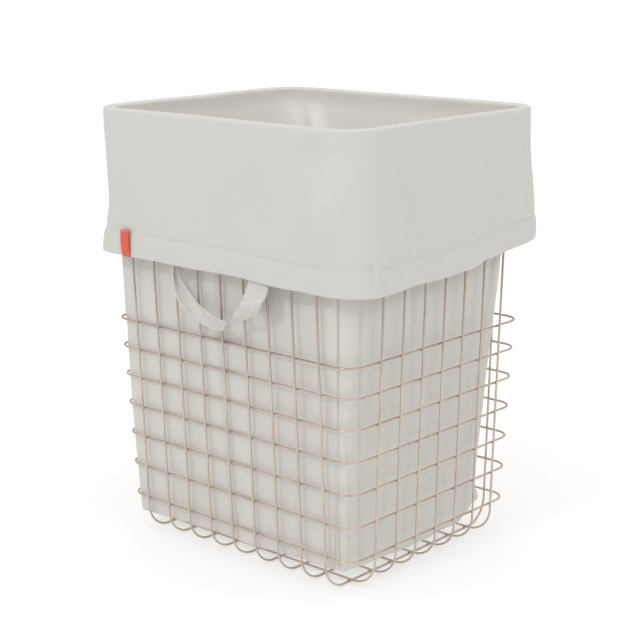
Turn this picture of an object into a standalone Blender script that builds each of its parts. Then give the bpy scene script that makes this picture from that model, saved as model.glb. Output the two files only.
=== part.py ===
"""Laundry basket: a bar cage welded from round wire, with a cotton liner bag that lifts out.

Units are metres, +Z is up. The wide face with nine upright wires is the front and faces -Y.
The origin is at the middle of the base, on the plane that the lowest wires rest on.
"""

import math

import bmesh
import bpy
from mathutils import Vector

# Clearances and bar sizes
GAP = 0.0003
WIRE_R = 0.00125
RIM_R = 0.0025
BAR_SIDES = 8

# The cage: two families of U-shaped wires, bent under the base, and the rings inside them
WIRE_PITCH = 0.035
FRONT_WIRES = 9
SIDE_WIRES = 7
BASE_HALF_W = 0.1755
BASE_HALF_D = 0.1424
LEAN_W = 0.034
LEAN_D = 0.043
BEND_R = 0.0305
BEND_STEPS = 6

RINGS = 7
TOP_RING_Z = 0.2567
FIRST_RING_STEP = 0.0334
RING_STEP_GROWTH = 0.00105
RING_CORNER_R = 0.020

RIM_Z = 0.4958
RIM_CORNER_R = 0.038
WIRE_TOP_Z = RIM_Z + 0.0007
CORNER_STEPS = 6

# The liner: the bag wall inside the cage, a fold over the rim, and the cuff outside it
CLOTH = 0.0016
BAG_FOOT_Z = 0.0195
BAG_FOOT = (0.1614, 0.1324, 0.028)
BAG_TOP_Z = 0.488
BAG_TOP = (0.1845, 0.1559, 0.034)
FOLD_Z = RIM_Z + 0.0001
FOLD_STEPS = 6
CUFF_TOP = (0.1972, 0.1683, 0.047)
CUFF_FOOT = (0.1995, 0.1700, 0.047)
HEM_Z = 0.340

# The liner's base, a shallow dish whose middle rests on the wires
BASE_UNDER_Z = 4 * WIRE_R + 2 * GAP
BASE_FLAT = (0.112, 0.084, 0.030)
BASE_TURN = (0.142, 0.113, 0.030)
BASE_TURN_RISE = 0.0035
BASE_TURN_FACING = (-0.35, 0.94)
BASE_EDGE_Z = 0.0225

# The strap handles under the hem of the cuff
STRAP_W = 0.022
STRAP_T = 0.0014
STRAP_Y = 0.1660
STRAP_AXIS_Z = HEM_Z - 0.004
STRAP_SPAN = 0.124
STRAP_DROP = 0.048
STRAP_CENTRE_X = 0.009
STRAP_STEPS = 14
TAB_HEIGHT = 0.038

# The woven label on the hem
LABEL_W = 0.017
LABEL_H = 0.030
LABEL_T = 0.0006
LABEL_X = -0.1345
LABEL_RISE = 0.001

EMPTY_SIZE = 0.03


def half_width(z):
    """Distance from the middle plane to the axes of the leaning wires of the right and left faces."""
    return BASE_HALF_W + LEAN_W * z


def half_depth(z):
    """The same for the wires of the front and rear faces."""
    return BASE_HALF_D + LEAN_D * z


def clear_scene():
    for item in list(bpy.data.objects):
        bpy.data.objects.remove(item, do_unlink=True)


def material(name, colour, roughness, metallic=0.0):
    made = bpy.data.materials.new(name)
    made.use_nodes = True
    shader = made.node_tree.nodes["Principled BSDF"]
    shader.inputs["Base Color"].default_value = (*colour, 1.0)
    shader.inputs["Roughness"].default_value = roughness
    shader.inputs["Metallic"].default_value = metallic
    made.diffuse_color = (*colour, 1.0)
    return made


def empty(name, location=(0.0, 0.0, 0.0), parent=None):
    made = bpy.data.objects.new(name, None)
    made.empty_display_size = EMPTY_SIZE
    made.location = location
    made.parent = parent
    bpy.context.scene.collection.objects.link(made)
    return made


def add_object(name, mesh_builder, finish, parent, smooth_deg=50):
    """Links a mesh built by bmesh as a named object, with outward normals and smooth round sides."""
    bmesh.ops.recalc_face_normals(mesh_builder, faces=mesh_builder.faces)
    mesh = bpy.data.meshes.new(name)
    mesh_builder.to_mesh(mesh)
    mesh_builder.free()
    mesh.materials.append(finish)
    mesh.shade_smooth()
    mesh.set_sharp_from_angle(angle=math.radians(smooth_deg))
    made = bpy.data.objects.new(name, mesh)
    made.parent = parent
    bpy.context.scene.collection.objects.link(made)
    return made


def bar(path, normal, radius, closed):
    """A round bar along a path that lies in one plane.

    The section is a polygon with a flat side towards the plane's normal and one towards the inside of
    the path, so that a bar lying on its side touches a table with a flat side.
    """
    builder = bmesh.new()
    normal = Vector(normal)
    corner_r = radius / math.cos(math.pi / BAR_SIDES)
    count = len(path)
    loops = []
    for i, point in enumerate(path):
        before = path[i - 1] if closed or i > 0 else None
        after = path[(i + 1) % count] if closed or i < count - 1 else None
        arriving = (point - before).normalized() if before else (after - point).normalized()
        leaving = (after - point).normalized() if after else arriving
        along = (arriving + leaving).normalized()
        across = normal.cross(along)
        mitre = 1.0 / along.dot(arriving)
        loop = []
        for k in range(BAR_SIDES):
            angle = 2 * math.pi * (k + 0.5) / BAR_SIDES
            offset = normal * math.cos(angle) + across * math.sin(angle) * mitre
            loop.append(builder.verts.new(point + offset * corner_r))
        loops.append(loop)
    for i in range(count if closed else count - 1):
        first, second = loops[i], loops[(i + 1) % count]
        for k in range(BAR_SIDES):
            n = (k + 1) % BAR_SIDES
            builder.faces.new((first[k], first[n], second[n], second[k]))
    if not closed:
        builder.faces.new(loops[0])
        builder.faces.new(loops[-1])
    return builder


def u_profile(base_half, lean, base_z):
    """Half of a U-wire as (distance out, height), from the middle of the base to the top."""
    tilt = math.atan(lean)
    centre_z = base_z + BEND_R
    centre_out = base_half + lean * centre_z - BEND_R / math.cos(tilt)
    points = []
    for i in range(BEND_STEPS + 1):
        angle = -math.pi / 2 + (math.pi / 2 - tilt) * i / BEND_STEPS
        out = centre_out + BEND_R * math.cos(angle)
        points.append((out, centre_z + BEND_R * math.sin(angle)))
    points.append((base_half + lean * WIRE_TOP_Z, WIRE_TOP_Z))
    return points


def u_wire(name, across_x, place, base_half, lean, base_z, finish, parent):
    """One U-wire, in the plane x = place, or in the plane y = place where across_x is set."""
    half = u_profile(base_half, lean, base_z)
    outline = [(-out, z) for out, z in reversed(half)] + half
    if across_x:
        path = [Vector((out, place, z)) for out, z in outline]
        normal = (0, 1, 0)
    else:
        path = [Vector((place, out, z)) for out, z in outline]
        normal = (1, 0, 0)
    return add_object(name, bar(path, normal, WIRE_R, closed=False), finish, parent)


def corner_arcs(half_w, half_d, corner_r, steps):
    """The four corners of a rounded rectangle as lists of (x, y, normal x, normal y), anticlockwise.

    The first is the front left corner, which runs on from the left face to the front.
    """
    arcs = []
    for quarter, (sx, sy) in enumerate(((-1, -1), (1, -1), (1, 1), (-1, 1))):
        centre = (sx * (half_w - corner_r), sy * (half_d - corner_r))
        arc = []
        for i in range(steps + 1):
            angle = math.pi + (quarter + i / steps) * math.pi / 2
            nx, ny = math.cos(angle), math.sin(angle)
            arc.append((centre[0] + corner_r * nx, centre[1] + corner_r * ny, nx, ny))
        arcs.append(arc)
    return arcs


def ring(name, z, inset, radius, corner_r, finish, parent):
    """A closed wire ring that lies level, inset from the planes of the upright wires."""
    arcs = corner_arcs(half_width(z) - inset, half_depth(z) - inset, corner_r, CORNER_STEPS)
    path = [Vector((x, y, z)) for arc in arcs for x, y, _, _ in arc]
    return add_object(name, bar(path, (0, 0, 1), radius, closed=True), finish, parent)


def build_cage(finish, parent):
    for i in range(FRONT_WIRES):
        place = (i - (FRONT_WIRES - 1) / 2) * WIRE_PITCH
        name = f"front_rear_wire_{i + 1}"
        u_wire(name, False, place, BASE_HALF_D, LEAN_D, WIRE_R, finish, parent)
    upper_z = 3 * WIRE_R + GAP
    for i in range(SIDE_WIRES):
        place = (i - (SIDE_WIRES - 1) / 2) * WIRE_PITCH
        name = f"left_right_wire_{i + 1}"
        u_wire(name, True, place, BASE_HALF_W, LEAN_W, upper_z, finish, parent)
    z = TOP_RING_Z
    for i in range(RINGS):
        ring(f"ring_{i + 1}", z, 2 * WIRE_R + GAP, WIRE_R, RING_CORNER_R, finish, parent)
        z -= FIRST_RING_STEP + i * RING_STEP_GROWTH
    ring("rim", RIM_Z, WIRE_R + GAP + RIM_R, RIM_R, RIM_CORNER_R, finish, parent)


def mixed(first, second, share):
    return tuple(a + (b - a) * share for a, b in zip(first, second))


def liner_stations():
    """The middle of the cloth from the foot of the bag, up, over the rim and down to the hem.

    Each entry is the rounded rectangle (half width, half depth, corner radius), its height, and the
    direction that the cloth's upper or outer side faces there, as (outward, upward): into the bag on its
    wall, up at the fold and out on the cuff.
    """
    stations = []
    for share in (0.0, 0.5, 1.0):
        size = mixed(BAG_FOOT, BAG_TOP, share)
        stations.append((size, BAG_FOOT_Z + (BAG_TOP_Z - BAG_FOOT_Z) * share, (-1.0, 0.0)))
    fold_r = (CUFF_TOP[0] - BAG_TOP[0]) / 2
    for i in range(FOLD_STEPS + 1):
        angle = math.pi * (1 - i / FOLD_STEPS)
        size = mixed(BAG_TOP, CUFF_TOP, (1 + math.cos(angle)) / 2)
        facing = (math.cos(angle), math.sin(angle))
        stations.append((size, FOLD_Z + fold_r * math.sin(angle), facing))
    for share in (0.5, 1.0):
        size = mixed(CUFF_TOP, CUFF_FOOT, share)
        stations.append((size, FOLD_Z + (HEM_Z - FOLD_Z) * share, (1.0, 0.0)))
    return stations


def panel_outline(size, half_turn):
    """Half of a rounded rectangle, from the middle of one corner to the middle of the opposite one.

    half_turn 0 gives the front and right faces, 1 the rear and left faces. Both ends stop half a gap
    short of the seam.
    """
    half_w, half_d, corner_r = size
    arcs = corner_arcs(half_w, half_d, corner_r, CORNER_STEPS)
    first, second, third = (arcs[(2 * half_turn + k) % 4] for k in range(3))
    middle = CORNER_STEPS // 2
    points = first[middle:] + second + third[: middle + 1]
    points[0] = moved_along(points[0], GAP / 2)
    points[-1] = moved_along(points[-1], -GAP / 2)
    return points


def moved_along(point, distance):
    """An outline's point moved along it, anticlockwise."""
    x, y, nx, ny = point
    return (x - ny * distance, y + nx * distance, nx, ny)


def shell(rows, closed, capped=False):
    """A cloth of one thickness from rows of (point, normal), each row a line across it.

    A closed shell's rows join up end to end. A capped one also fills its first row, above and below.
    """
    builder = bmesh.new()
    sides = []
    for sign in (1, -1):
        side = []
        for row in rows:
            side.append([builder.verts.new(point + normal * (sign * CLOTH / 2)) for point, normal in row])
        sides.append(side)
    count = len(rows[0])
    spans = [(k, (k + 1) % count) for k in range(count if closed else count - 1)]
    for side in sides:
        for lower, upper in zip(side, side[1:]):
            for k, n in spans:
                builder.faces.new((lower[k], lower[n], upper[n], upper[k]))
    front, back = sides
    if capped:
        builder.faces.new(front[0])
        builder.faces.new(back[0])
    for row in (len(rows) - 1,) if capped else (0, len(rows) - 1):
        for k, n in spans:
            builder.faces.new((front[row][k], front[row][n], back[row][n], back[row][k]))
    if not closed:
        for k in (0, count - 1):
            for row in range(len(rows) - 1):
                edge = (front[row][k], front[row + 1][k], back[row + 1][k], back[row][k])
                builder.faces.new(edge)
    return builder


def cloth_row(outline, z, facing):
    """A level line across the cloth as (point, direction of its upper or outer side)."""
    outward, upward = facing
    return [(Vector((x, y, z)), Vector((nx * outward, ny * outward, upward))) for x, y, nx, ny in outline]


def liner_panel(name, half_turn, finish, parent):
    rows = [cloth_row(panel_outline(size, half_turn), z, facing) for size, z, facing in liner_stations()]
    return add_object(name, shell(rows, closed=False), finish, parent)


def liner_base(finish, parent):
    """The round-cornered base of the bag: flat where it rests, turned up to the seam at its edge."""
    wall_inside = BAG_FOOT[0] - CLOTH / 2 - GAP
    edge_half_w = wall_inside - CLOTH / 2
    edge = (edge_half_w, BAG_FOOT[1] - (BAG_FOOT[0] - edge_half_w), BAG_FOOT[2])
    flat_z = BASE_UNDER_Z + CLOTH / 2
    stations = (
        (BASE_FLAT, flat_z, (0.0, 1.0)),
        (BASE_TURN, flat_z + BASE_TURN_RISE, BASE_TURN_FACING),
        (edge, BASE_EDGE_Z, (-1.0, 0.0)),
    )
    rows = []
    for size, z, facing in stations:
        outline = [point for arc in corner_arcs(*size, CORNER_STEPS) for point in arc]
        rows.append(cloth_row(outline, z, facing))
    return add_object("liner_base", shell(rows, closed=True, capped=True), finish, parent)


def plate(outline_a, outline_b, normal, thickness):
    """A flat band between two lines of points, one each side of it."""
    builder = bmesh.new()
    shift = Vector(normal) * (thickness / 2)
    layers = []
    for sign in (1, -1):
        layers.append(
            [[builder.verts.new(point + shift * sign) for point in line] for line in (outline_a, outline_b)]
        )
    last = len(outline_a) - 1
    for a, b in layers:
        for k in range(last):
            builder.faces.new((a[k], a[k + 1], b[k + 1], b[k]))
    (top_a, top_b), (under_a, under_b) = layers
    for k in range(last):
        builder.faces.new((top_a[k], top_a[k + 1], under_a[k + 1], under_a[k]))
        builder.faces.new((top_b[k], top_b[k + 1], under_b[k + 1], under_b[k]))
    for k in (0, last):
        builder.faces.new((top_a[k], top_b[k], under_b[k], under_a[k]))
    return builder


def strap_handle(name, front, finish, parent):
    """A strap loop that hangs in a U below its hinge line, modelled about an empty on that line."""
    sign = -1 if front else 1
    pivot = empty(f"{name}_pivot", (STRAP_CENTRE_X, sign * STRAP_Y, STRAP_AXIS_Z), parent)
    inner, outer = [], []
    for i in range(STRAP_STEPS + 1):
        angle = math.pi + math.pi * i / STRAP_STEPS
        side = Vector((math.cos(angle) * STRAP_DROP, 0, math.sin(angle) * STRAP_SPAN / 2)).normalized()
        middle = Vector((math.cos(angle) * STRAP_SPAN / 2, 0, math.sin(angle) * STRAP_DROP))
        inner.append(middle - side * STRAP_W / 2)
        outer.append(middle + side * STRAP_W / 2)
    return add_object(name, plate(inner, outer, (0, 1, 0), STRAP_T), finish, pivot)


def strap_tab(name, front, right, finish, parent):
    """The sewn end of a strap, flat behind the cuff, from the hinge line up."""
    sign = -1 if front else 1
    x = STRAP_CENTRE_X + (STRAP_SPAN / 2 if right else -STRAP_SPAN / 2)
    y = sign * STRAP_Y
    bottom = STRAP_AXIS_Z + STRAP_T
    sides = []
    for edge in (-STRAP_W / 2, STRAP_W / 2):
        sides.append([Vector((x + edge, y, bottom)), Vector((x + edge, y, bottom + TAB_HEIGHT))])
    return add_object(name, plate(*sides, (0, 1, 0), STRAP_T), finish, parent)


def label(finish, parent):
    y = -(CUFF_FOOT[1] + CLOTH / 2 + GAP + LABEL_T / 2)
    sides = []
    for edge in (-LABEL_W / 2, LABEL_W / 2):
        bottom = Vector((LABEL_X + edge, y, HEM_Z + LABEL_RISE))
        sides.append([bottom, bottom + Vector((0, 0, LABEL_H))])
    return add_object("label", plate(*sides, (0, 1, 0), LABEL_T), finish, parent)


def main():
    clear_scene()
    lacquer = material("copper_lacquer", (0.56, 0.36, 0.27), 0.35, 0.9)
    cotton = material("cotton", (0.80, 0.79, 0.75), 0.9)
    webbing = material("cotton_webbing", (0.78, 0.77, 0.73), 0.9)
    red_weave = material("label_weave", (0.86, 0.29, 0.19), 0.8)

    basket = empty("basket")
    cage = empty("cage", parent=basket)
    liner = empty("liner", parent=basket)

    build_cage(lacquer, cage)
    liner_panel("liner_front_panel", 0, cotton, liner)
    liner_panel("liner_rear_panel", 1, cotton, liner)
    liner_base(cotton, liner)
    for side in ("front", "rear"):
        is_front = side == "front"
        strap_handle(f"{side}_handle", is_front, webbing, liner)
        for end in ("left", "right"):
            strap_tab(f"{side}_handle_{end}_end", is_front, end == "right", webbing, liner)
    label(red_weave, liner)


main()
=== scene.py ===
"""Looks of a rectangular wire laundry basket with a lift-out cotton liner folded over its rim.

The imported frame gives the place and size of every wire, ring, strap and cloth panel. This script
draws the round wires and their welds, the sewn and creased cloth, the strap handles and the label.
"""

import math

import bmesh
import bpy
from mathutils import Matrix, Vector, noise


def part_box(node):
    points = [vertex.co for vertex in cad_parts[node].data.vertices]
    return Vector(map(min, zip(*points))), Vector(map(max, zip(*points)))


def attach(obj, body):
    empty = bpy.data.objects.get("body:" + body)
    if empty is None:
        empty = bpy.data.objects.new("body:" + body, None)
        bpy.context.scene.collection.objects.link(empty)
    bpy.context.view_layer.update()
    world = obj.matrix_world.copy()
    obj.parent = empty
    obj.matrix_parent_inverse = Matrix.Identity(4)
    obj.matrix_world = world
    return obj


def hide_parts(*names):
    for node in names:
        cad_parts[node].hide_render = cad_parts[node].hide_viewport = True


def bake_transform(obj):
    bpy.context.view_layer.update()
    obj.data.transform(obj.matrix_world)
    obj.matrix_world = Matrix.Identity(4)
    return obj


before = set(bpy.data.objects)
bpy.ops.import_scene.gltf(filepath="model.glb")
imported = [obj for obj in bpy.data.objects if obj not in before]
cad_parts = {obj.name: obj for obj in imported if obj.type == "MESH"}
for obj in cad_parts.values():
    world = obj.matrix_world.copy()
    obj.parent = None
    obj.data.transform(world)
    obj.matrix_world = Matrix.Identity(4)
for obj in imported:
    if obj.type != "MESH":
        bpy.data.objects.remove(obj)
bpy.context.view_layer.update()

# The wire cage. The uprights lean outwards by LEAN metres for each metre of height.
FRONT_WIRES = 9
SIDE_WIRES = 7
RINGS = 7
LEAN_W = 0.034
LEAN_D = 0.043
BEND_R = 0.0305
RING_CORNER_R = 0.020
RIM_CORNER_R = 0.038
WIRE_SIDES = 14
BEND_STEPS = 18
CORNER_STEPS = 14
WELD_SIZE = (0.0019, 0.0019, 0.0015)

# The cloth, in the order front right, rear right, rear left, front left for each tuple of corners.
CLOTH = 0.0012
FOOT_HALF = (0.1612, 0.1322)
FOOT_CORNERS = (0.014, 0.047, 0.040, 0.006)
FOOT_SHIFT = (-0.004, -0.003)
MOUTH_HALF = (0.1845, 0.1559)
MOUTH_CORNERS = (0.034, 0.034, 0.034, 0.034)
MOUTH_Z = 0.488
FOLD_Z = 0.4959
FOLD_SQUARENESS = 0.55
CUFF_TOP_HALF = (0.1972, 0.1683)
CUFF_FOOT_HALF = (0.1995, 0.1702)
CUFF_CORNERS = (0.047, 0.047, 0.047, 0.047)
EDGE_R = 0.005
HEM_DEPTH = 0.026
FOLD_START = 0.465
FOLD_END = 0.495
HEM_FOLD_R = 0.0009
CUFF_TALL = 0.155
SIDE_COLUMNS = (96, 84, 96, 84)
CORNER_COLUMNS = 20
WALL_ROWS = 108
EDGE_ROWS = 5
FOLD_ROWS = 12
CUFF_ROWS = 46
HEM_TURN_ROWS = 4
HEM_ROWS = 7
BASE_ROWS = 26
BASE_Z = 0.0068
CORNER_SIGNS = ((1, -1), (1, 1), (-1, 1), (-1, -1))
CUFF_TOP_ROW = EDGE_ROWS + WALL_ROWS + 1 + FOLD_ROWS
CUFF_FOOT_ROW = CUFF_TOP_ROW + CUFF_ROWS

# Heights by share of the way round, starting at the front left corner and going along the front.
HEM_HEIGHTS = (
    (0.00, 0.3400), (0.14, 0.3388), (0.22, 0.3370), (0.28, 0.3340), (0.36, 0.3350),
    (0.405, 0.3380), (0.425, 0.3445), (0.50, 0.3550), (0.62, 0.3440), (0.77, 0.3400), (0.90, 0.3410),
)
FOOT_HEIGHTS = (
    (0.00, 0.0170), (0.14, 0.0205), (0.27, 0.0245), (0.38, 0.0190), (0.45, 0.0210),
    (0.50, 0.0340), (0.56, 0.0220), (0.66, 0.0180), (0.77, 0.0200), (0.90, 0.0170),
)

# Dents and ridges of the cuff: how far each stands out, its share of the way round at the fold, how much
# that changes down to the hem, its width in metres, and its middle and reach as shares of the drop.
CUFF_DENTS = (
    (-0.0050, 0.005, 0.00, 0.055, 0.60, 0.28),
    (0.0062, 0.258, -0.02, 0.016, 0.50, 0.30),
    (-0.0048, 0.305, 0.03, 0.022, 0.50, 0.35),
    (-0.0030, 0.030, 0.00, 0.030, 0.25, 0.15),
)

# The two folds that stand in from the wall by the far corner: depth, share of the way round, width.
CORNER_TUCKS = ((0.0110, 0.741, 0.013), (0.0070, 0.768, 0.012))
TUCK_LEAN = 0.10

# Each strap by its two edges, left to right: (x, distance from the middle of the basket, z) of the inner
# edge and of the outer edge, and how far its middle bows out between them.
STRAP_WIDTH = 0.028
STRAP_THICK = 0.0015
STRAP_EDGES = (
    ((-0.0570, 0.1620, 0.3520), (-0.0600, 0.1660, 0.3520), 0.0010),
    ((-0.0575, 0.1612, 0.3330), (-0.0600, 0.1695, 0.3340), 0.0030),
    ((-0.0540, 0.1612, 0.3210), (-0.0590, 0.1705, 0.3225), 0.0036),
    ((-0.0410, 0.1615, 0.3085), (-0.0545, 0.1720, 0.3075), 0.0034),
    ((-0.0280, 0.1640, 0.2995), (-0.0445, 0.1730, 0.2950), 0.0034),
    ((-0.0165, 0.1675, 0.2955), (-0.0310, 0.1715, 0.2850), 0.0054),
    ((-0.0050, 0.1680, 0.2920), (-0.0175, 0.1715, 0.2795), 0.0062),
    ((0.0085, 0.1700, 0.2880), (0.0020, 0.1725, 0.2755), 0.0046),
    ((0.0225, 0.1735, 0.2880), (0.0195, 0.1730, 0.2770), 0.0020),
    ((0.0270, 0.1665, 0.2870), (0.0245, 0.1640, 0.2790), 0.0005),
    ((0.0405, 0.1745, 0.3030), (0.0440, 0.1610, 0.2915), -0.0010),
    ((0.0505, 0.1805, 0.3090), (0.0620, 0.1635, 0.2990), -0.0015),
    ((0.0560, 0.1825, 0.3130), (0.0820, 0.1755, 0.3170), 0.0005),
    ((0.0530, 0.1735, 0.3210), (0.0850, 0.1715, 0.3265), 0.0015),
    ((0.0545, 0.1680, 0.3340), (0.0840, 0.1680, 0.3350), 0.0005),
    ((0.0560, 0.1655, 0.3520), (0.0840, 0.1655, 0.3520), 0.0000),
)
STRAP_CRUMPLE = (0.0034, 0.0007)
STRAP_STEPS = 6
STRAP_COLUMNS = 12

LABEL_CENTRE_X = -0.1335
LABEL_LOW_Z = 0.3382
LABEL_SHOWN = 0.84
LABEL_STAND = 0.0012
LABEL_COLUMNS = 8
LABEL_ROWS = 16

STITCH_SIDES = 6
# Rings of one stitch: share of its length, height in radii and thickness in radii.
STITCH_RINGS = ((0.0, -0.5, 0.7), (0.2, 0.45, 1.0), (0.5, 0.7, 1.05), (0.8, 0.45, 1.0), (1.0, -0.5, 0.7))

# The inside tones are painted lighter than the outside and cuff tones of the same cotton: painted light
# for the light inside the bag.
COTTON_OUTSIDE = ((0.720, 0.705, 0.671), (0.664, 0.646, 0.610))
COTTON_INSIDE_PAINTED_LIGHT = ((0.925, 0.905, 0.865), (0.895, 0.872, 0.830))
COTTON_CUFF_TURN = (0.640, 0.633, 0.612)
WEBBING = ((0.722, 0.710, 0.686), (0.662, 0.647, 0.620))
COTTON_PITCH = 0.0009
WEBBING_PITCH = 0.0007

FLOOR_SIZE = 90
FLOOR_COLOUR = (0.55, 0.55, 0.55, 1)
FLOOR_GLOW = 0.45
BACKDROP_RADIUS = 44
BACKDROP_HEIGHT = 13
BACKDROP_SIDES = 96
BACKDROP_COLOUR = (0.1, 0.1, 0.1, 1)
BACKDROP_GLOW = 0.90
HORIZON_LIGHT = (0.10, 0.10, 0.10)
OVERHEAD_LIGHT = (1.30, 1.29, 1.27)
BOX_SIZE = 0.4
BOX_AIM = (0, 0, 0.25)
LEFT_BOX = ((0.1, -2.3, 2.1), 13)
RIGHT_BOX = ((2.3, -0.2, 2.1), 7)

# The photograph's view: degrees round from the front, degrees above the floor, and roll.
CAMERA_ANGLES = (41.8433, 13.7263, -0.2719)
CAMERA_PLACE = (1.159, -1.289, 0.677)
CAMERA_LENS = 86.256


def smooth(share):
    """Smoothstep of a value held between 0 and 1."""
    held = min(1.0, max(0.0, share))
    return held * held * (3 - 2 * held)


def mix(first, second, share):
    return first + (second - first) * share


def bell(distance, width):
    return math.exp(-((distance / width) ** 2))


# ---------------------------------------------------------------- materials


def new_material(name, roughness, metallic=0.0):
    made = bpy.data.materials.new(name)
    made.use_nodes = True
    shader = made.node_tree.nodes["Principled BSDF"]
    shader.inputs["Roughness"].default_value = roughness
    shader.inputs["Metallic"].default_value = metallic
    return made, made.node_tree.nodes, made.node_tree.links, shader


def noise_node(nodes, links, vector, scale, detail=3.0, roughness=0.5):
    made = nodes.new("ShaderNodeTexNoise")
    made.inputs["Scale"].default_value = scale
    made.inputs["Detail"].default_value = detail
    made.inputs["Roughness"].default_value = roughness
    links.new(vector, made.inputs["Vector"])
    return made.outputs["Fac"]


def ramp_node(nodes, links, value, stops):
    made = nodes.new("ShaderNodeValToRGB")
    ramp = made.color_ramp
    ramp.elements[0].position, ramp.elements[0].color = stops[0][0], (*stops[0][1], 1)
    ramp.elements[1].position, ramp.elements[1].color = stops[-1][0], (*stops[-1][1], 1)
    for position, colour in stops[1:-1]:
        ramp.elements.new(position).color = (*colour, 1)
    links.new(value, made.inputs["Fac"])
    return made.outputs["Color"]


def mix_colour(nodes, links, factor, first, second):
    made = nodes.new("ShaderNodeMix")
    made.data_type = "RGBA"
    for socket, value in ((0, factor), (6, first), (7, second)):
        if isinstance(value, bpy.types.NodeSocket):
            links.new(value, made.inputs[socket])
        elif isinstance(value, tuple):
            made.inputs[socket].default_value = (*value, 1)
        else:
            made.inputs[socket].default_value = value
    return made.outputs[2]


def math_node(nodes, links, operation, first, second):
    made = nodes.new("ShaderNodeMath")
    made.operation = operation
    for socket, value in ((0, first), (1, second)):
        if isinstance(value, bpy.types.NodeSocket):
            links.new(value, made.inputs[socket])
        else:
            made.inputs[socket].default_value = value
    return made.outputs[0]


def remap(nodes, links, value, low, high):
    made = nodes.new("ShaderNodeMapRange")
    made.inputs["To Min"].default_value = low
    made.inputs["To Max"].default_value = high
    links.new(value, made.inputs["Value"])
    return made.outputs["Result"]


def scaled(nodes, links, vector, scale):
    made = nodes.new("ShaderNodeMapping")
    made.inputs["Scale"].default_value = scale
    links.new(vector, made.inputs["Vector"])
    return made.outputs["Vector"]


def bump_node(nodes, links, height, strength, distance):
    made = nodes.new("ShaderNodeBump")
    made.inputs["Strength"].default_value = strength
    made.inputs["Distance"].default_value = distance
    links.new(height, made.inputs["Height"])
    return made.outputs["Normal"]


def thread_wave(nodes, links, vector, direction, pitch):
    """Bands across one direction of the cloth, one for each thread."""
    made = nodes.new("ShaderNodeTexWave")
    made.wave_type = "BANDS"
    made.bands_direction = direction
    made.inputs["Scale"].default_value = 2 * math.pi / (20 * pitch)
    made.inputs["Distortion"].default_value = 0.6
    made.inputs["Detail"].default_value = 1.0
    links.new(vector, made.inputs["Vector"])
    return made.outputs["Fac"]


def wire_material():
    """Rose copper lacquer on drawn wire: satin, with faint streaks, dull patches and a top darkened by
    painted shade for the shade under the cuff.
    """
    made, nodes, links, shader = new_material("copper_wire_lacquer", 0.3, 0.85)
    place = nodes.new("ShaderNodeTexCoord").outputs["Object"]
    patches = noise_node(nodes, links, place, 28, 4)
    grain = noise_node(nodes, links, place, 900, 2, 0.6)
    colour = ramp_node(nodes, links, patches, (
        (0.30, (0.545, 0.455, 0.380)), (0.52, (0.625, 0.530, 0.450)), (0.75, (0.690, 0.595, 0.510)),
    ))
    streaks = remap(nodes, links, grain, 0.0, 0.22)
    colour = mix_colour(nodes, links, streaks, colour, (0.33, 0.25, 0.20))
    # Painted shade: the wire darkens from z 0.22 to 0.34 and stays dark above, standing for the shade
    # under the cuff.
    split = nodes.new("ShaderNodeSeparateXYZ")
    links.new(place, split.inputs["Vector"])
    painted_shade_under_cuff = ramp_node(nodes, links, split.outputs["Z"], (
        (0.22, (0, 0, 0)), (0.34, (0.72, 0.72, 0.72)),
    ))
    colour = mix_colour(nodes, links, painted_shade_under_cuff, colour, (0.30, 0.22, 0.18))
    links.new(colour, shader.inputs["Base Color"])
    links.new(remap(nodes, links, patches, 0.20, 0.36), shader.inputs["Roughness"])
    links.new(bump_node(nodes, links, grain, 0.15, 0.0002), shader.inputs["Normal"])
    return made


def weld_material():
    """The same lacquer over small lumps of weld, a little darker and rougher."""
    made, nodes, links, shader = new_material("copper_weld_lacquer", 0.5, 0.8)
    place = nodes.new("ShaderNodeTexCoord").outputs["Object"]
    lumps = noise_node(nodes, links, place, 700, 3)
    colour = ramp_node(nodes, links, lumps, ((0.3, (0.40, 0.32, 0.26)), (0.7, (0.58, 0.48, 0.40))))
    links.new(colour, shader.inputs["Base Color"])
    links.new(remap(nodes, links, lumps, 0.35, 0.6), shader.inputs["Roughness"])
    links.new(bump_node(nodes, links, lumps, 0.4, 0.0004), shader.inputs["Normal"])
    return made


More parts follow.
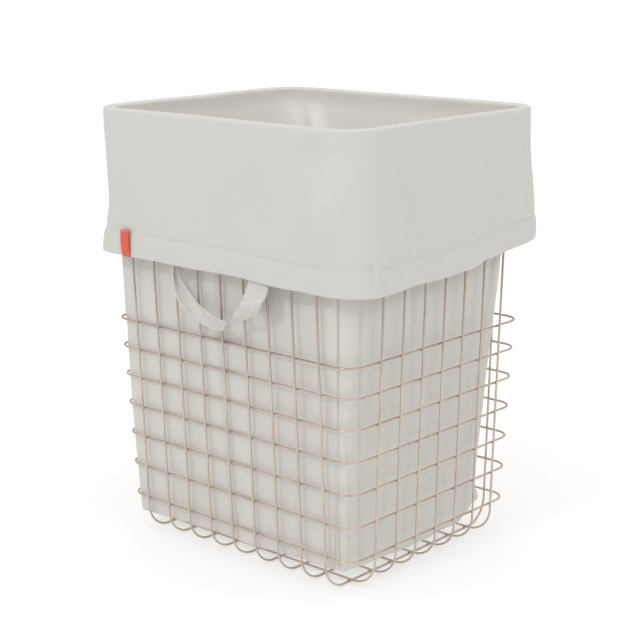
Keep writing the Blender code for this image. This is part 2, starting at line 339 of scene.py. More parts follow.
def cotton_material(name, colours, pitch, weave_depth, cuff=None):
    """Plain-weave cotton. The weave layer holds metres along the warp and the weft.

    colours are its light and its dark tone. cuff is the colour past the fold; the inside colours before
    the fold are painted lighter than it, as painted light inside the bag.
    """
    light, dark = colours
    made, nodes, links, shader = new_material(name, 0.92)
    cloth_map = nodes.new("ShaderNodeUVMap")
    cloth_map.uv_map = "weave"
    flat = cloth_map.outputs["UV"]
    place = nodes.new("ShaderNodeTexCoord").outputs["Object"]
    warp = thread_wave(nodes, links, flat, "X", pitch)
    weft = thread_wave(nodes, links, flat, "Y", pitch)
    weave = math_node(nodes, links, "MULTIPLY", warp, weft)
    slubs_along = noise_node(nodes, links, scaled(nodes, links, flat, (60, 1400, 1)), 1.0, 2)
    slubs_across = noise_node(nodes, links, scaled(nodes, links, flat, (1400, 60, 1)), 1.0, 2)
    slubs = math_node(nodes, links, "ADD", slubs_along, slubs_across)
    clouds = noise_node(nodes, links, place, 11, 3)
    colour = mix_colour(nodes, links, clouds, dark, light)
    # Past the fold the inside's painted-light tones give way to the cuff's darker tone.
    if cuff is not None:
        split = nodes.new("ShaderNodeSeparateXYZ")
        links.new(flat, split.inputs["Vector"])
        past_fold = nodes.new("ShaderNodeMapRange")
        past_fold.inputs["From Min"].default_value = FOLD_START
        past_fold.inputs["From Max"].default_value = FOLD_END
        links.new(split.outputs["Y"], past_fold.inputs["Value"])
        colour = mix_colour(nodes, links, past_fold.outputs["Result"], colour, cuff)
    flecks = noise_node(nodes, links, scaled(nodes, links, flat, (420, 260, 1)), 1.0, 2)
    fleck_amount = ramp_node(nodes, links, flecks, ((0.70, (0, 0, 0)), (0.80, (0.35, 0.35, 0.35))))
    colour = mix_colour(nodes, links, fleck_amount, colour, (0.46, 0.39, 0.29))
    thread_shade = remap(nodes, links, slubs, 0.0, 0.16)
    colour = mix_colour(nodes, links, thread_shade, colour, (0.42, 0.39, 0.35))
    links.new(colour, shader.inputs["Base Color"])
    links.new(remap(nodes, links, slubs, 0.85, 0.98), shader.inputs["Roughness"])
    height = math_node(nodes, links, "ADD", weave, slubs)
    links.new(bump_node(nodes, links, height, weave_depth, 0.0004), shader.inputs["Normal"])
    shader.inputs["Sheen Weight"].default_value = 0.12
    shader.inputs["Sheen Roughness"].default_value = 0.45
    shader.inputs["Specular IOR Level"].default_value = 0.25
    return made


def thread_material():
    made, nodes, links, shader = new_material("sewing_thread", 0.8)
    place = nodes.new("ShaderNodeTexCoord").outputs["Object"]
    twist = noise_node(nodes, links, place, 1600, 2)
    colour = ramp_node(nodes, links, twist, ((0.3, (0.60, 0.58, 0.54)), (0.7, (0.74, 0.73, 0.70))))
    links.new(colour, shader.inputs["Base Color"])
    links.new(bump_node(nodes, links, twist, 0.3, 0.0002), shader.inputs["Normal"])
    shader.inputs["Sheen Weight"].default_value = 0.2
    return made


def label_material():
    """A woven tape with fine ribs across it. It carries no mark."""
    made, nodes, links, shader = new_material("woven_label_tape", 0.75)
    tape_map = nodes.new("ShaderNodeUVMap")
    tape_map.uv_map = "weave"
    flat = tape_map.outputs["UV"]
    ribs = thread_wave(nodes, links, flat, "Y", 0.0007)
    threads = thread_wave(nodes, links, flat, "X", 0.0005)
    grain = noise_node(nodes, links, scaled(nodes, links, flat, (900, 900, 1)), 1.0, 2)
    colour = ramp_node(nodes, links, grain, (
        (0.25, (0.66, 0.075, 0.040)), (0.8, (0.86, 0.135, 0.075)),
    ))
    # Painted shade: the tape is darker in the grooves between the ribs.
    painted_shade_between_ribs = remap(nodes, links, ribs, 0.18, 0.0)
    colour = mix_colour(nodes, links, painted_shade_between_ribs, colour, (0.42, 0.03, 0.02))
    links.new(colour, shader.inputs["Base Color"])
    links.new(remap(nodes, links, grain, 0.6, 0.85), shader.inputs["Roughness"])
    height = math_node(nodes, links, "ADD", ribs, threads)
    links.new(bump_node(nodes, links, height, 0.35, 0.0003), shader.inputs["Normal"])
    shader.inputs["Sheen Weight"].default_value = 0.2
    return made


# ---------------------------------------------------------------- building pieces


def add_piece(name, points, faces, finish, body, weave=None):
    """One smooth-shaded mesh piece that moves with a body, if one is given.

    weave gives each point's place on the flat cloth, in metres.
    """
    mesh = bpy.data.meshes.new(name)
    mesh.from_pydata([tuple(p) for p in points], [], faces)
    mesh.materials.append(finish)
    mesh.shade_smooth()
    if weave is not None:
        layer = mesh.uv_layers.new(name="weave")
        for loop in mesh.loops:
            layer.data[loop.index].uv = weave[loop.vertex_index]
    piece = bpy.data.objects.new(name, mesh)
    bpy.context.collection.objects.link(piece)
    if body is not None:
        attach(piece, body)
    return piece


def sweep(path, plane_normal, radius, closed):
    """A round tube along a path that lies in one plane, with domed ends if it is open."""
    normal = Vector(plane_normal).normalized()
    count = len(path)
    rings = []
    for i, point in enumerate(path):
        before = path[i - 1] if closed or i else point
        after = path[(i + 1) % count] if closed or i < count - 1 else point
        side = (Vector(after) - Vector(before)).normalized().cross(normal)
        rings.append((Vector(point), side, radius))
    if not closed:
        start_way = (Vector(path[0]) - Vector(path[1])).normalized()
        end_way = (Vector(path[-1]) - Vector(path[-2])).normalized()
        rings.insert(0, (Vector(path[0]) + start_way * radius * 0.5, rings[0][1], radius * 0.6))
        rings.append((Vector(path[-1]) + end_way * radius * 0.5, rings[-1][1], radius * 0.6))
    points = []
    for centre, side, reach in rings:
        for k in range(WIRE_SIDES):
            angle = 2 * math.pi * k / WIRE_SIDES
            points.append(centre + reach * (math.cos(angle) * side + math.sin(angle) * normal))
    faces = []
    total = len(rings)
    for i in range(total if closed else total - 1):
        for k in range(WIRE_SIDES):
            low, high = i * WIRE_SIDES, (i + 1) % total * WIRE_SIDES
            nxt = (k + 1) % WIRE_SIDES
            faces.append((low + k, low + nxt, high + nxt, high + k))
    if not closed:
        faces.append(tuple(reversed(range(WIRE_SIDES))))
        faces.append(tuple(range((total - 1) * WIRE_SIDES, total * WIRE_SIDES)))
    return points, outward(points, faces)


def outward(points, faces):
    """The faces turned to point out of the closed shape that they make."""
    made = bmesh.new()
    verts = [made.verts.new(p) for p in points]
    made.verts.ensure_lookup_table()
    for face in faces:
        made.faces.new([verts[i] for i in face])
    bmesh.ops.recalc_face_normals(made, faces=made.faces)
    made.verts.index_update()
    turned = [tuple(v.index for v in face.verts) for face in made.faces]
    made.free()
    return turned


# ---------------------------------------------------------------- the wire cage


def u_profile(foot_half, lean, base_z, top_z):
    """Half of a bent wire: along the floor, round the bend and up the lean, as (out, height)."""
    tilt = math.atan(lean)
    centre_z = base_z + BEND_R
    centre_out = foot_half + lean * centre_z - BEND_R / math.cos(tilt)
    half = [(0.0, base_z), (centre_out * 0.5, base_z)]
    for i in range(BEND_STEPS + 1):
        angle = mix(-math.pi / 2, -tilt, i / BEND_STEPS)
        half.append((centre_out + BEND_R * math.cos(angle), centre_z + BEND_R * math.sin(angle)))
    for share in (0.25, 0.5, 0.75, 1.0):
        z = mix(half[BEND_STEPS + 2][1], top_z, share)
        half.append((foot_half + lean * z, z))
    return half


def rounded_path(half_w, half_d, corner_r, z):
    """A level rounded rectangle, from the front right corner anticlockwise."""
    path = []
    for quarter, (across, along) in enumerate(CORNER_SIGNS):
        for i in range(CORNER_STEPS + 1):
            angle = math.pi / 2 * (quarter - 1 + i / CORNER_STEPS)
            x = across * (half_w - corner_r) + corner_r * math.cos(angle)
            y = along * (half_d - corner_r) + corner_r * math.sin(angle)
            path.append(Vector((x, y, z)))
    return path


def upright(node, runs_front_to_rear, lean, finish):
    """A round wire in place of one CAD wire, and its foot half width without the lean."""
    low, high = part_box(node)
    along = 1 if runs_front_to_rear else 0
    radius = (high[1 - along] - low[1 - along]) / 2
    place = (high[1 - along] + low[1 - along]) / 2
    top_z = high[2]
    base_z = low[2] + radius
    foot_half = high[along] - radius - lean * (top_z - radius)
    half = u_profile(foot_half, lean, base_z, top_z - radius * 0.5)
    whole = [(-out, z) for out, z in reversed(half[1:])] + half
    if runs_front_to_rear:
        path = [Vector((place, out, z)) for out, z in whole]
        points, faces = sweep(path, (1, 0, 0), radius, False)
    else:
        path = [Vector((out, place, z)) for out, z in whole]
        points, faces = sweep(path, (0, 1, 0), radius, False)
    piece = add_piece(f"{node}_round", points, faces, finish, "cage")
    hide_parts(node)
    return {"place": place, "radius": radius, "foot_half": foot_half, "base_z": base_z}


def hoop(node, corner_r, finish):
    """A round closed wire in place of one CAD ring or the rim, and its size."""
    low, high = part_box(node)
    radius = (high[2] - low[2]) / 2
    z = (high[2] + low[2]) / 2
    half_w, half_d = high[0] - radius, high[1] - radius
    points, faces = sweep(rounded_path(half_w, half_d, corner_r, z), (0, 0, 1), radius, True)
    piece = add_piece(f"{node}_round", points, faces, finish, "cage")
    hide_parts(node)
    return {"z": z, "half": (half_w, half_d)}


def weld(points, faces, place, size):
    """Adds one small lump at a crossing."""
    made = bmesh.new()
    bmesh.ops.create_icosphere(made, subdivisions=2, radius=1)
    start = len(points)
    for vert in made.verts:
        lump = 1 + 0.16 * noise.noise((vert.co + place * 900) * 1.4)
        points.append(place + Vector((vert.co[i] * size[i] * lump for i in range(3))))
    faces.extend(tuple(start + v.index for v in face.verts) for face in made.faces)
    made.free()


def build_cage():
    lacquer = wire_material()
    fronts = [upright(f"front_rear_wire_{i + 1}", True, LEAN_D, lacquer) for i in range(FRONT_WIRES)]
    sides = [upright(f"left_right_wire_{i + 1}", False, LEAN_W, lacquer) for i in range(SIDE_WIRES)]
    hoops = [hoop(f"ring_{i + 1}", RING_CORNER_R, lacquer) for i in range(RINGS)]
    hoops.append(hoop("rim", RIM_CORNER_R, lacquer))
    points, faces = [], []
    for band in hoops:
        for wire in fronts:
            out = (band["half"][1] + wire["foot_half"] + LEAN_D * band["z"]) / 2
            for way in (-1, 1):
                weld(points, faces, Vector((wire["place"], way * out, band["z"])), WELD_SIZE)
        for wire in sides:
            out = (band["half"][0] + wire["foot_half"] + LEAN_W * band["z"]) / 2
            for way in (-1, 1):
                weld(points, faces, Vector((way * out, wire["place"], band["z"])), WELD_SIZE)
    for front in fronts:
        for side in sides:
            z = (front["base_z"] + side["base_z"]) / 2
            weld(points, faces, Vector((front["place"], side["place"], z)), WELD_SIZE)
    add_piece("cage_welds", points, faces, weld_material(), "cage")


# ---------------------------------------------------------------- the cloth liner


def columns():
    """The columns of the cloth as (side or corner, which, share), from the front left corner."""
    half = CORNER_COLUMNS // 2
    made = [("corner", 3, 0.5 + i / CORNER_COLUMNS) for i in range(half)]
    for side in range(4):
        made += [("side", side, i / SIDE_COLUMNS[side]) for i in range(SIDE_COLUMNS[side])]
        steps = half if side == 3 else CORNER_COLUMNS
        made += [("corner", side, i / CORNER_COLUMNS) for i in range(steps)]
    return made


def on_outline(column, half, corners):
    """Where a column crosses a rounded rectangle, and the direction out of it."""
    kind, which, share = column
    if kind == "corner":
        angle = math.pi / 2 * (which - 1 + share)
        out = Vector((math.cos(angle), math.sin(angle)))
        return corner_centre(which, half, corners) + corners[which] * out, out
    angle = math.pi / 2 * (which - 1)
    out = Vector((math.cos(angle), math.sin(angle)))
    before = (which - 1) % 4
    start = corner_centre(before, half, corners) + corners[before] * out
    end = corner_centre(which, half, corners) + corners[which] * out
    return start.lerp(end, share), out


def corner_centre(which, half, corners):
    """The middle of the arc at one corner of a rounded rectangle."""
    across, along = CORNER_SIGNS[which]
    return Vector((across * (half[0] - corners[which]), along * (half[1] - corners[which])))


def around_shares(all_columns):
    """Each column's share of the way round the cuff, and the length of the way."""
    spots = [on_outline(c, CUFF_TOP_HALF, CUFF_CORNERS)[0] for c in all_columns]
    lengths = [0.0]
    for i in range(len(spots)):
        lengths.append(lengths[-1] + (spots[(i + 1) % len(spots)] - spots[i]).length)
    return [length / lengths[-1] for length in lengths[:-1]], lengths[-1]


COLUMNS = columns()
SHARES, PERIMETER = around_shares(COLUMNS)


def height_at(heights, share):
    """Smooth height between the listed ones, closed round the basket."""
    share = share % 1.0
    listed = list(heights) + [(1.0, heights[0][1])]
    for (start, low), (end, high) in zip(listed, listed[1:]):
        if start <= share <= end:
            return mix(low, high, smooth((share - start) / (end - start)))
    return heights[0][1]


def way_between(first, second):
    """The shorter way round between two shares, in metres."""
    apart = abs(first - second) % 1.0
    return min(apart, 1 - apart) * PERIMETER


def round_noise(share, z, size, tall, seed):
    """Noise that closes round the basket: size is its width in metres and tall its height."""
    reach = PERIMETER / (2 * math.pi * size)
    angle = 2 * math.pi * share
    return noise.noise(Vector((reach * math.cos(angle) + seed, reach * math.sin(angle), z / tall + seed)))


def creases(share, z, size, tall, seed, sharp):
    """Narrow valleys that run mostly up and down, from 0 to -1."""
    near = abs(round_noise(share, z, size, tall, seed)) * sharp
    return -max(0.0, 1 - near) ** 2


def wall_relief(share, height):
    """How far the bag's wall stands out of its plain shape. height is 0 at the foot, 1 at the mouth."""
    z = height * (MOUTH_Z - FOOT_HEIGHTS[0][1])
    loose = smooth((1 - height) * 3.0)
    hang = 0.5 + 0.5 * smooth((1 - height) * 1.4)
    pleat_share = share + 0.025 * height
    # Long soft waves, then pleats and creases that fade out towards the tight mouth.
    relief = 0.0034 * round_noise(share + 0.02 * height, z, 0.050, 0.50, 3.0) * hang
    relief += 0.0006 * round_noise(share, z, 0.028, 0.35, 11.0) * hang
    relief += 0.0042 * creases(pleat_share, z, 0.085, 0.80, 5.0, 11.0) * loose
    relief += 0.0014 * creases(share, z * 0.7 + share * 0.4, 0.080, 0.16, 8.0, 8.0) * loose
    relief += 0.0003 * round_noise(share, z, 0.014, 0.05, 17.0)
    # The two seams pull in, at the front left and rear right corners.
    seam = min(way_between(share, 0.0), way_between(share, 0.5))
    relief -= 0.0012 * bell(seam, 0.004)
    below_mouth = smooth((1 - height) * 11)
    lean = TUCK_LEAN * min(0.25, 1 - height)
    for depth, place, width in CORNER_TUCKS:
        relief -= depth * bell(way_between(share, place - lean), width) * below_mouth
    # The cloth stands out at the foot, at the rear right corner and at the front right corner.
    relief += 0.008 * bell(way_between(share, 0.5), 0.007) * bell(z, 0.012)
    relief += 0.004 * bell(way_between(share, 0.27), 0.012) * bell(z, 0.018)
    return relief


def cuff_relief(share, drop):
    """How far the cuff stands out of its plain shape. drop is 0 at the fold and 1 at the hem."""
    free = smooth(drop * 2.2)
    z = drop * CUFF_TALL
    relief = 0.0060 * round_noise(share, z, 0.085, 0.14, 31.0) * free
    relief += 0.0026 * round_noise(share, z, 0.045, 0.09, 37.0) * free
    relief += 0.0003 * round_noise(share, z, 0.016, 0.03, 41.0)
    for out, place, slide, width, middle, reach in CUFF_DENTS:
        relief += out * bell(way_between(share, place + slide * drop), width) * bell(drop - middle, reach)
    # The hem flares at the front left and rear right corners.
    relief += 0.0025 * bell(way_between(share, 0.0), 0.040) * smooth(drop * 3 - 2)
    relief += 0.0090 * bell(way_between(share, 0.505), 0.060) * smooth(drop * 1.1) * drop
    # A hollow just left of the front right corner, and a ridge just past it.
    sunk = smooth(drop / 0.15) * (1 - smooth((drop - 0.15) / 0.40))
    relief -= 0.0040 * bell(way_between(share, 0.243), 0.034) * sunk
    relief += 0.0022 * bell(way_between(share, 0.285), 0.020) * smooth(drop * 1.5)
    # The hem's line of sewing pulls in, and the cloth puckers along it, most near the right face's ends.
    stitch = 1 - HEM_DEPTH / CUFF_TALL
    relief -= 0.0011 * bell(drop - stitch, 0.022)
    relief += 0.0010 * smooth((drop - stitch) * 40)
    pucker = round_noise(share, z, 0.007, 0.05, 51.0)
    relief += 0.0007 * pucker * bell(drop - stitch, 0.10)
    strong = bell(way_between(share, 0.290), 0.014) + bell(way_between(share, 0.492), 0.012)
    relief += 0.0034 * strong * pucker * bell(drop - stitch - 0.02, 0.09)
    return relief


def foot_point(column, share, turn):
    """A point on the rounded lower edge of the bag. turn is 0 under it and 1 at the side."""
    z_foot = height_at(FOOT_HEIGHTS, share)
    spot, out = on_outline(column, FOOT_HALF, FOOT_CORNERS)
    angle = math.pi / 2 * turn
    inset = EDGE_R * (1 - math.sin(angle)) - wall_relief(share, 0.0)
    spot = spot - out * inset + Vector(FOOT_SHIFT)
    return Vector((spot.x, spot.y, z_foot + EDGE_R * (1 - math.cos(angle))))


def wall_point(column, share, height):
    """A point of the bag's wall. height is 0 at the foot and 1 at the mouth."""
    z_low = height_at(FOOT_HEIGHTS, share) + EDGE_R
    half = [mix(FOOT_HALF[i], MOUTH_HALF[i], height) for i in range(2)]
    corners = [mix(FOOT_CORNERS[i], MOUTH_CORNERS[i], height ** 2.5) for i in range(4)]
    spot, out = on_outline(column, half, corners)
    spot = spot + out * wall_relief(share, height) + Vector(FOOT_SHIFT) * (1 - height)
    return Vector((spot.x, spot.y, mix(z_low, MOUTH_Z, height)))


def fold_point(column, share, turn):
    """A point where the cloth goes over the rim. turn is 0 inside and 1 outside."""
    angle = math.pi * (1 - turn)
    middle = [(MOUTH_HALF[i] + CUFF_TOP_HALF[i]) / 2 for i in range(2)]
    reach = [(CUFF_TOP_HALF[i] - MOUTH_HALF[i]) / 2 for i in range(2)]
    across = math.copysign(abs(math.cos(angle)) ** FOLD_SQUARENESS, math.cos(angle))
    up = max(0.0, math.sin(angle)) ** FOLD_SQUARENESS
    half = [middle[i] + reach[i] * across for i in range(2)]
    corners = [mix(MOUTH_CORNERS[i], CUFF_CORNERS[i], turn) for i in range(4)]
    spot, out = on_outline(column, half, corners)
    relief = mix(wall_relief(share, 1.0), cuff_relief(share, 0.0), turn)
    spot = spot + out * relief
    sag = 0.0007 * round_noise(share, 0.0, 0.09, 1.0, 61.0) - 0.0004
    return Vector((spot.x, spot.y, FOLD_Z + (reach[0] + sag) * up))


def cuff_point(column, share, drop, inward=0.0, rise=0.0):
    """A point of the cuff, or of the hem's inner layer when it is inward and rises."""
    half = [mix(CUFF_TOP_HALF[i], CUFF_FOOT_HALF[i], drop) for i in range(2)]
    spot, out = on_outline(column, half, CUFF_CORNERS)
    spot = spot + out * (cuff_relief(share, drop) - inward)
    z = mix(FOLD_Z, height_at(HEM_HEIGHTS, share), drop)
    return Vector((spot.x, spot.y, z + rise))


def cloth_rows():
    """The rows of the cloth from under the bag's foot to the hem's inner edge, as functions."""
    rows = [lambda c, s, t=i / EDGE_ROWS: foot_point(c, s, t) for i in range(EDGE_ROWS)]
    rows += [lambda c, s, h=i / WALL_ROWS: wall_point(c, s, h) for i in range(WALL_ROWS)]
    rows.append(lambda c, s: wall_point(c, s, 1.0))
    rows += [lambda c, s, t=i / FOLD_ROWS: fold_point(c, s, t) for i in range(FOLD_ROWS)]
    rows += [lambda c, s, d=i / CUFF_ROWS: cuff_point(c, s, d) for i in range(CUFF_ROWS + 1)]
    for i in range(1, HEM_TURN_ROWS + 1):
        angle = math.pi * i / HEM_TURN_ROWS
        inward = HEM_FOLD_R * (1 - math.cos(angle))
        dip = -HEM_FOLD_R * math.sin(angle)
        rows.append(lambda c, s, n=inward, r=dip: cuff_point(c, s, 1.0, n, r))
    for i in range(1, HEM_ROWS + 1):
        up = HEM_DEPTH * i / HEM_ROWS
        rows.append(lambda c, s, u=up: hem_layer_point(c, s, u))
    return rows


def hem_layer_point(column, share, up):
    """A point of the hem's inner layer, a distance up from the hem's edge."""
    tall = FOLD_Z - height_at(HEM_HEIGHTS, share)
    return cuff_point(column, share, 1 - up / tall, 2 * HEM_FOLD_R)


def cloth_grid(first, count):
    """Points of the cloth by row and column, with the metres along and across it for the weave."""
    picked = [(first + i) % len(COLUMNS) for i in range(count + 1)]
    rows = cloth_rows()
    grid = [[row(COLUMNS[i], SHARES[i]) for i in picked] for row in rows]
    across = []
    for k, i in enumerate(picked):
        share = SHARES[i] + (1.0 if SHARES[i] < SHARES[picked[0]] else 0.0)
        across.append(share * PERIMETER)
    along = [0.0]
    middle = len(picked) // 3
    for low, high in zip(grid, grid[1:]):
        along.append(along[-1] + (high[middle] - low[middle]).length)
    return grid, across, along


def grid_faces(rows, count, closed=False):
    """Quads between the points of a grid, which joins up end to end if it is closed."""
    faces = []
    steps = count if closed else count - 1
    for i in range(rows - 1):
        for k in range(steps):
            nxt = (k + 1) % count
            faces.append((i * count + k, i * count + nxt, (i + 1) * count + nxt, (i + 1) * count + k))
    return faces


def thicken(piece, thickness, other_side=None):
    """Gives a sheet its thickness, and its other side a finish of its own if one is given."""
    solid = piece.modifiers.new("Cloth thickness", "SOLIDIFY")
    solid.thickness = thickness
    solid.offset = 0.0
    solid.use_rim = True
    solid.use_quality_normals = True
    if other_side is not None:
        piece.data.materials.append(other_side)
        solid.material_offset = 1


def liner_panel(name, node, first, count, outside, inside):
    """Half of the bag and cuff as one sheet, from one seam to the other, and its grid of points."""
    grid, across, along = cloth_grid(first, count)
    points = [p for row in grid for p in row]
    weave = [(across[k], along[i]) for i in range(len(grid)) for k in range(count + 1)]
    faces = grid_faces(len(grid), count + 1)
    piece = add_piece(name, points, faces, outside, "liner", weave)
    thicken(piece, CLOTH, inside)
    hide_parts(node)
    return grid


def liner_base(outside, inside):
    """The bag's bottom: a sheet that falls from the lower edge onto the bottom wires."""
    edge = [foot_point(COLUMNS[i], SHARES[i], 0.0) for i in range(len(COLUMNS))]
    points, weave = [], []
    for row in range(BASE_ROWS):
        inward = row / BASE_ROWS
        for k, spot in enumerate(edge):
            fall = smooth(inward * 3.2)
            x, y = spot.x * (1 - inward), spot.y * (1 - inward)
            wrinkle = 0.0012 * noise.noise(Vector((x * 18, y * 18, 4.0)))
            wrinkle += 0.0010 * abs(noise.noise(Vector((x * 34, y * 34, 9.0))))
            z = mix(spot.z, BASE_Z + wrinkle * smooth(inward * 6), fall)
            points.append(Vector((x, y, z)))
            weave.append((x, y))
    faces = grid_faces(BASE_ROWS, len(edge), closed=True)
    points.append(Vector((0, 0, BASE_Z)))
    weave.append((0, 0))
    last = (BASE_ROWS - 1) * len(edge)
    for k in range(len(edge)):
        faces.append((last + k, last + (k + 1) % len(edge), len(points) - 1))
    piece = add_piece("liner_base_cloth", points, faces, outside, "liner", weave)
    thicken(piece, CLOTH, inside)
    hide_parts("liner_base")


# ---------------------------------------------------------------- sewing


def stitches(name, lines, length, gap, radius, body, finish):
    """Thread along each line of (point, outward direction), cut into separate stitches."""
    points, faces = [], []
    for line in lines:
        walked = 0.0
        start = None
        for (spot, out), (after, _) in zip(line, line[1:]):
            walked += (after - spot).length
            if start is None:
                start = (spot, out)
            if walked >= length:
                one_stitch(points, faces, start, (after, out), radius, gap)
                walked = 0.0
                start = None
    return add_piece(name, points, faces, finish, body)


def one_stitch(points, faces, start, end, radius, gap):
    """A short rounded thread that rises out of the cloth and goes back in."""
    along = (end[0] - start[0]).normalized()
    out = start[1]
    first = start[0] + along * gap / 2
    last = end[0] - along * gap / 2
    across = along.cross(out).normalized()
    sides = STITCH_SIDES
    begin = len(points)
    for share, lift, fat in STITCH_RINGS:
        centre = first.lerp(last, share) + out * radius * lift
        for k in range(sides):
            angle = 2 * math.pi * k / sides
            points.append(centre + radius * fat * (math.cos(angle) * across + math.sin(angle) * out))
    last = len(STITCH_RINGS) - 1
    for i in range(last):
        for k in range(sides):
            nxt = (k + 1) % sides
            low, high = begin + i * sides, begin + (i + 1) * sides
            faces.append((low + k, high + k, high + nxt, low + nxt))
    faces.append(tuple(begin + k for k in range(sides)))
    faces.append(tuple(begin + last * sides + k for k in reversed(range(sides))))


def hem_line(grid, up):
    """A line of sewing on the outside of the cuff, a distance above the hem's edge."""
    line = []
    for k in range(len(grid[0])):
        line_z = grid[CUFF_FOOT_ROW][k].z + up
        row = CUFF_FOOT_ROW
        while row > CUFF_TOP_ROW and grid[row][k].z < line_z:
            row -= 1
        low, high = grid[row + 1][k], grid[row][k]
        share = (line_z - low.z) / max(1e-6, high.z - low.z)
        line.append(low.lerp(high, share))
    placed = []
    for k, spot in enumerate(line):
        way = line[min(k + 1, len(line) - 1)] - line[max(k - 1, 0)]
        out = way.cross(Vector((0, 0, 1))).normalized()
        placed.append((spot + out * CLOTH / 2, out))
    return finer(placed, 4)


def finer(line, parts):
    """The same line of (point, outward direction) with each step cut into parts."""
    made = []
    for (spot, out), (after, next_out) in zip(line, line[1:]):
        for i in range(parts):
            made.append((spot.lerp(after, i / parts), out.lerp(next_out, i / parts).normalized()))
    made.append(line[-1])
    return made


# ---------------------------------------------------------------- straps and label


def curve_through(values, steps):
    """A smooth run through a list of vectors, with a number of steps between each two."""
    made = []
    for i in range(len(values) - 1):
        before = values[max(0, i - 1)]
        after = values[min(len(values) - 1, i + 2)]
        start, end = values[i], values[i + 1]
        for k in range(steps):
            t = k / steps
            made.append(0.5 * (2 * start + (end - before) * t
                               + (2 * before - 5 * start + 4 * end - after) * t ** 2
                               + (3 * start - before - 3 * end + after) * t ** 3))
    made.append(values[-1])
    return made


def strap_grid(side, seed):
    """The strap's middle surface by station and column. side is -1 at the front and 1 at the rear."""
    inner = strap_edge(side, [edges[0] for edges in STRAP_EDGES])
    outer = strap_edge(side, [edges[1] for edges in STRAP_EDGES])
    bows = curve_through([Vector((edges[2], 0, 0)) for edges in STRAP_EDGES], STRAP_STEPS)
    last = len(inner) - 1
    grid = []
    for i in range(last + 1):
        before, after = max(i - 1, 0), min(i + 1, last)
        run = inner[after] + outer[after] - inner[before] - outer[before]
        face = (outer[i] - inner[i]).cross(run).normalized() * side
        crumple = mix(STRAP_CRUMPLE[1], STRAP_CRUMPLE[0], bell(i / last - 0.45, 0.16))
        row = []
        for k in range(STRAP_COLUMNS + 1):
            share = k / STRAP_COLUMNS
            wave = crumple * noise.noise(Vector((i * 0.28 + seed, share * 2.6, seed)))
            wave += 0.5 * crumple * noise.noise(Vector((i * 0.75 + seed, share * 5.0, seed)))
            arch = bows[i].x * 4 * share * (1 - share)
            row.append(inner[i].lerp(outer[i], share) + face * (arch + wave))
        grid.append(row)
    return grid


def strap_edge(side, listed):
    """A smooth edge of the strap on the front (side -1) or the rear (side 1)."""
    return curve_through([Vector((x, side * away, z)) for x, away, z in listed], STRAP_STEPS)


def strap(name, side, nodes, cloth, thread):
    """One strap with a line of sewing by each edge, on both faces."""
    grid = strap_grid(side, 2.0 + side)
    count = STRAP_COLUMNS + 1
    points = [p for row in grid for p in row]
    weave = []
    along = 0.0
    for i, row in enumerate(grid):
        along += (row[0] - grid[max(0, i - 1)][0]).length
        weave += [(STRAP_WIDTH * k / STRAP_COLUMNS, along) for k in range(count)]
    faces = grid_faces(len(grid), count)
    piece = add_piece(f"{name}_strap", points, faces, cloth, None, weave)
    thicken(piece, STRAP_THICK)
    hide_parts(*nodes)
    lines = []
    for column in (1, STRAP_COLUMNS - 1):
        for way in (-1, 1):
            line = []
            for i in range(1, len(grid) - 1):
                run = grid[i + 1][column] - grid[i - 1][column]
                face = run.cross(grid[i][column + 1] - grid[i][column - 1]).normalized() * way
                line.append((grid[i][column] + face * STRAP_THICK / 2, face))
            lines.append(finer(line, 3))
    sewn = stitches(f"{name}_strap_stitches", lines, 0.0030, 0.0008, 0.00022, None, thread)
    for made in (piece, sewn):
        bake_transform(made)


def on_cuff(grid, x, z):
    """The y of the cuff's middle surface on the front face at a given x and z."""
    front = [k for k in range(len(grid[0])) if grid[CUFF_TOP_ROW][k].y < -MOUTH_HALF[1]]
    column = min(front, key=lambda k: abs(grid[CUFF_FOOT_ROW][k].x - x))
    row = min(range(CUFF_TOP_ROW, CUFF_FOOT_ROW + 1), key=lambda i: abs(grid[i][column].z - z))
    return grid[row][column].y


def label(grid, finish, thread):
    """A short woven tape, sewn in at its top and hanging free to the hem's edge."""
    low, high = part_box("label")
    width, height = (high[0] - low[0]) * LABEL_SHOWN, high[2] - low[2]
    thickness = high[1] - low[1]
    heights = [LABEL_LOW_Z + height * share for share in (0.0, 0.3, 0.6, 1.0)]
    front_y = min(on_cuff(grid, LABEL_CENTRE_X, z) for z in heights)
    points, weave = [], []
    for i in range(LABEL_ROWS + 1):
        up = i / LABEL_ROWS
        for k in range(LABEL_COLUMNS + 1):
            across = k / LABEL_COLUMNS
            bulge = 0.0022 * math.sin(math.pi * up) * (0.6 + 0.4 * math.sin(math.pi * across))
            twist = 0.0006 * (across - 0.5) * (1 - up)
            x = LABEL_CENTRE_X + width * (across - 0.5) + 0.0012 * (1 - up)
            points.append(Vector((x, front_y - LABEL_STAND - bulge - twist, LABEL_LOW_Z + height * up)))
            weave.append((width * across, height * up))
    faces = grid_faces(LABEL_ROWS + 1, LABEL_COLUMNS + 1)
    piece = add_piece("label_tape", points, faces, finish, "liner", weave)
    thicken(piece, thickness)
    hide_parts("label")
    sewn_z = LABEL_LOW_Z + height - 0.0015
    sewn_y = front_y - LABEL_STAND - thickness
    line = []
    for k in range(LABEL_COLUMNS + 1):
        x = LABEL_CENTRE_X + width * (k / LABEL_COLUMNS - 0.5)
        line.append((Vector((x, sewn_y, sewn_z)), Vector((0, -1, 0))))
    stitches("label_stitches", [finer(line, 3)], 0.0024, 0.0006, 0.0002, "liner", thread)


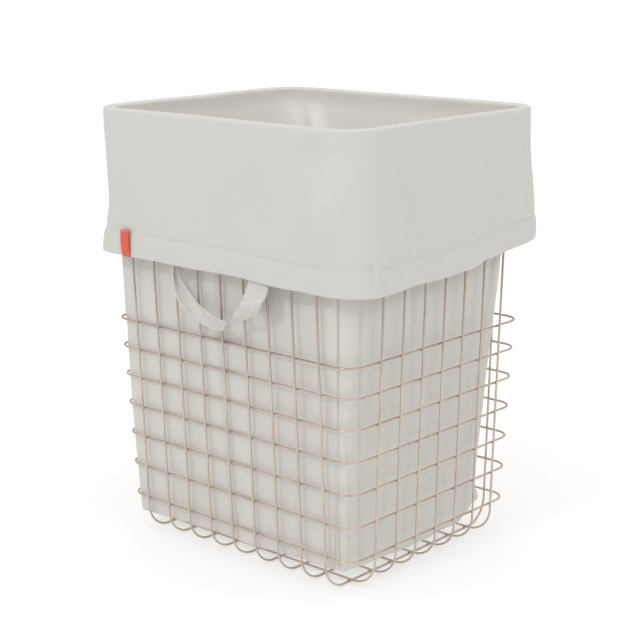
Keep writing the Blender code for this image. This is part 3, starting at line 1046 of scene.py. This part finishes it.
def build_liner():
    outside = cotton_material("cotton_outside", COTTON_OUTSIDE, COTTON_PITCH, 0.22)
    inside = cotton_material("cotton_inside", COTTON_INSIDE_PAINTED_LIGHT, COTTON_PITCH, 0.22, COTTON_CUFF_TURN)
    webbing = cotton_material("cotton_webbing", WEBBING, WEBBING_PITCH, 0.35)
    thread = thread_material()
    half = len(COLUMNS) // 2
    front = liner_panel("liner_front_cloth", "liner_front_panel", 0, half, outside, inside)
    rear = liner_panel("liner_rear_cloth", "liner_rear_panel", half, half, outside, inside)
    liner_base(outside, inside)
    lines = [hem_line(front, HEM_DEPTH), hem_line(rear, HEM_DEPTH)]
    stitches("hem_stitches", lines, 0.0034, 0.0010, 0.00022, "liner", thread)
    for name, side in (("front_handle", -1), ("rear_handle", 1)):
        strap(name, side, (name, f"{name}_left_end", f"{name}_right_end"), webbing, thread)
    label(front, label_material(), thread)


# ---------------------------------------------------------------- stage, lights and camera


def stage_finish(name, colour, glow):
    """A plain pale surface that glows a little, so that it stays white under soft light."""
    finish, _, _, shader = new_material(name, 0.9)
    shader.inputs["Base Color"].default_value = colour
    shader.inputs["Emission Color"].default_value = (1, 1, 1, 1)
    shader.inputs["Emission Strength"].default_value = glow
    return finish


def build_stage():
    """A plain floor, and a low round backdrop far behind it."""
    bpy.ops.mesh.primitive_plane_add(size=FLOOR_SIZE, location=(0, 0, 0))
    floor = bpy.context.object
    floor.name = "floor"
    floor.data.materials.append(stage_finish("pale_floor", FLOOR_COLOUR, FLOOR_GLOW))
    bpy.ops.mesh.primitive_cylinder_add(
        vertices=BACKDROP_SIDES, radius=BACKDROP_RADIUS, depth=BACKDROP_HEIGHT, end_fill_type="NOTHING",
        location=(0, 0, 0),
    )
    backdrop = bpy.context.object
    backdrop.name = "backdrop"
    backdrop.data.materials.append(stage_finish("pale_backdrop", BACKDROP_COLOUR, BACKDROP_GLOW))


def soft_box(name, place, power):
    """A round soft light aimed at the basket."""
    data = bpy.data.lights.new(name, "AREA")
    data.shape = "DISK"
    data.size = BOX_SIZE
    data.energy = power
    lamp = bpy.data.objects.new(name, data)
    lamp.location = place
    lamp.rotation_euler = (Vector(BOX_AIM) - Vector(place)).to_track_quat("-Z", "Y").to_euler()
    bpy.context.collection.objects.link(lamp)


def build_lights():
    """A dome that is brighter overhead than at the horizon, and a soft box on each side of the view."""
    world = bpy.data.worlds.new("studio")
    bpy.context.scene.world = world
    world.use_nodes = True
    nodes, links = world.node_tree.nodes, world.node_tree.links
    way = nodes.new("ShaderNodeTexCoord").outputs["Generated"]
    split = nodes.new("ShaderNodeSeparateXYZ")
    links.new(way, split.inputs["Vector"])
    shade = ramp_node(nodes, links, split.outputs["Z"], ((0.0, HORIZON_LIGHT), (0.9, OVERHEAD_LIGHT)))
    links.new(shade, nodes["Background"].inputs["Color"])
    soft_box("left_box", *LEFT_BOX)
    soft_box("right_box", *RIGHT_BOX)
    bpy.context.scene.view_settings.view_transform = "Standard"


def build_camera():
    """The camera at the photograph's place, turned and rolled as the photograph is."""
    azimuth, elevation, roll = (math.radians(angle) for angle in CAMERA_ANGLES)
    level = math.cos(elevation)
    back = Vector((math.sin(azimuth) * level, -math.cos(azimuth) * level, math.sin(elevation)))
    flat_right = (-back).cross(Vector((0, 0, 1))).normalized()
    flat_up = flat_right.cross(-back)
    right = math.cos(roll) * flat_right + math.sin(roll) * flat_up
    up = math.cos(roll) * flat_up - math.sin(roll) * flat_right
    turn = Matrix((right, up, back)).transposed().to_4x4()
    data = bpy.data.cameras.new("camera")
    data.lens = CAMERA_LENS
    data.sensor_width = 36
    camera = bpy.data.objects.new("camera", data)
    camera.matrix_world = Matrix.Translation(CAMERA_PLACE) @ turn
    bpy.context.collection.objects.link(camera)
    bpy.context.scene.camera = camera


build_camera()
build_lights()
build_stage()
build_cage()
build_liner()
